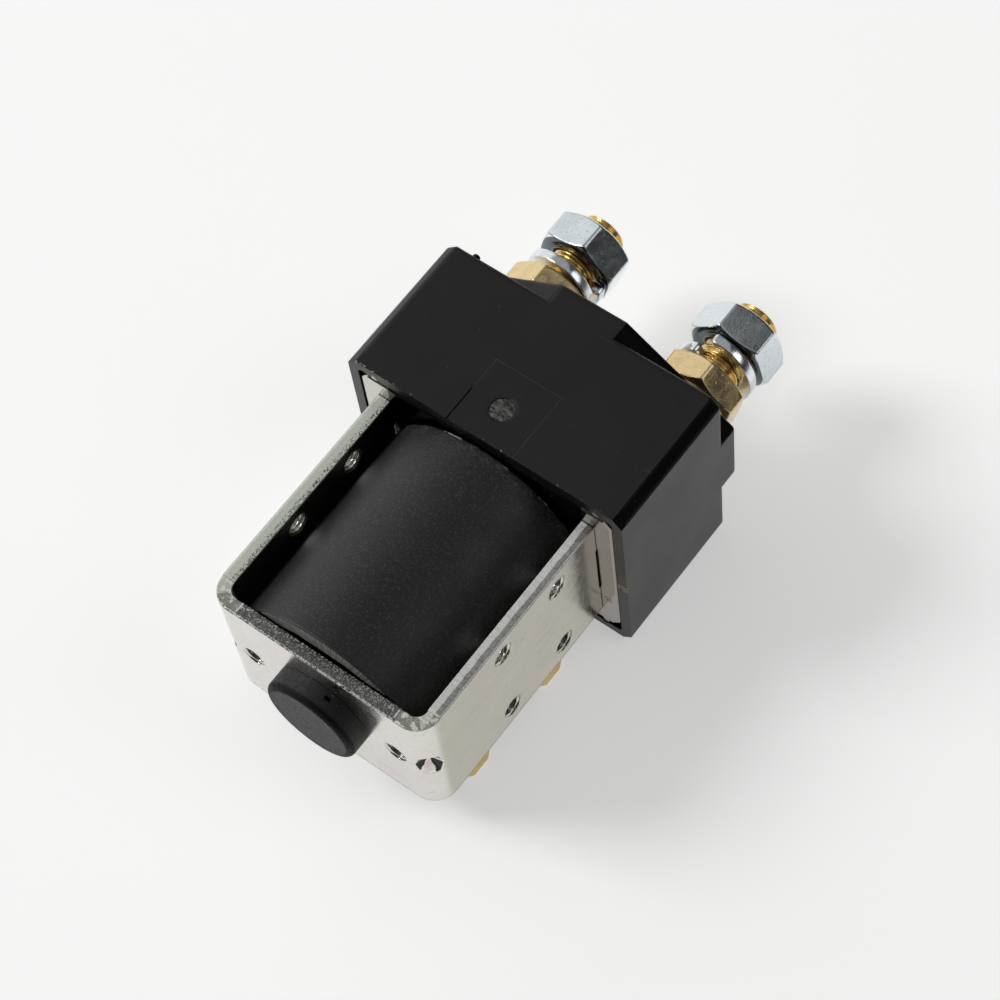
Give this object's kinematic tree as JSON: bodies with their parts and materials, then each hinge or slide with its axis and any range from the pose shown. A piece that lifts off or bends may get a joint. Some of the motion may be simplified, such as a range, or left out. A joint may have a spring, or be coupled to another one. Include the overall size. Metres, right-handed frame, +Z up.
{
  "type": "magnetic starter switch",
  "caption": "Solenoid switch with a taped coil in a U-shaped magnet frame, a plunger inside, and a black contact housing with threaded main studs on its far end.",
  "frame": {"origin": "centre of the bounding box's base, on the surface that the switch lies on", "axes": "+X from the left stud to the right stud, +Y along the plunger towards the stud tips, +Z up from the housing's side that it lies on"},
  "size_m": [0.0624, 0.1164, 0.0475],
  "materials": {
    "bridge_bush": "brown insulating moulding",
    "bush_washer": "zinc plated steel",
    "coil_blade": "bare brass",
    "coil_bobbin": "grey moulding",
    "coil_tape": "dark insulating tape",
    "coil_winding": "enamelled copper wire",
    "collar_nut": "turned brass",
    "contact_bridge": "bare copper bar",
    "contact_housing": "black moulding, lightly scratched",
    "contact_spring": "spring steel wire",
    "cover_pin": "plain steel wire",
    "end_cap": "matt black moulding",
    "fixed_contact": "silver alloy",
    "fixed_core": "plated soft steel",
    "guide_tube": "drawn brass tube",
    "lock_washer": "zinc plated spring steel",
    "magnet_frame": "bright zinc plated steel sheet",
    "moving_contact": "silver alloy",
    "plunger": "plated soft steel",
    "push_rod": "ground stainless rod",
    "return_spring": "spring steel wire",
    "rod_nut": "zinc plated steel",
    "seat_ring": "phosphated spring steel",
    "spring_seat": "zinc plated steel",
    "stud": "turned brass with a rolled thread",
    "terminal_nut": "zinc plated steel",
    "terminal_strip": "black moulding",
    "top_plate": "bright zinc plated steel plate"
  },
  "bodies": {
    "switch": {"magnet_frame": "magnet_frame", "top_plate": "top_plate", "contact_housing": "contact_housing", "end_cap": "end_cap", "coil_bobbin": "coil_bobbin", "coil_winding": "coil_winding", "coil_tape": "coil_tape", "terminal_strip": "terminal_strip", "coil_blade_front": "coil_blade", "coil_blade_rear": "coil_blade", "guide_tube": "guide_tube", "fixed_core": "fixed_core", "return_spring": "return_spring", "stud_left": "stud", "stud_right": "stud", "fixed_contact_left": "fixed_contact", "fixed_contact_right": "fixed_contact", "collar_nut_left": "collar_nut", "collar_nut_right": "collar_nut", "lock_washer_left": "lock_washer", "lock_washer_right": "lock_washer", "terminal_nut_left": "terminal_nut", "terminal_nut_right": "terminal_nut", "cover_pin_1": "cover_pin", "cover_pin_2": "cover_pin", "cover_pin_3": "cover_pin", "cover_pin_4": "cover_pin"},
    "bridge": {"contact_bridge": "contact_bridge", "bridge_bush": "bridge_bush", "moving_contact_left": "moving_contact", "moving_contact_right": "moving_contact", "contact_spring": "contact_spring"},
    "armature": {"plunger": "plunger", "push_rod": "push_rod", "spring_seat": "spring_seat", "seat_ring": "seat_ring", "bush_washer": "bush_washer", "rod_nut": "rod_nut"}
  },
  "joints": [
    {"name": "contact_stroke", "type": "slide", "parent": "switch", "child": "bridge", "axis": [0, 1, 0], "range_m": [0, 0.003], "stiffness_N_per_m": 400, "springref_m": -0.005, "deforming": ["return_spring"]},
    {"name": "armature_overtravel", "type": "slide", "parent": "bridge", "child": "armature", "axis": [0, 1, 0], "range_m": [0, 0.0008], "stiffness_N_per_m": 900, "springref_m": -0.003, "deforming": ["contact_spring", "return_spring"]}
  ]
}
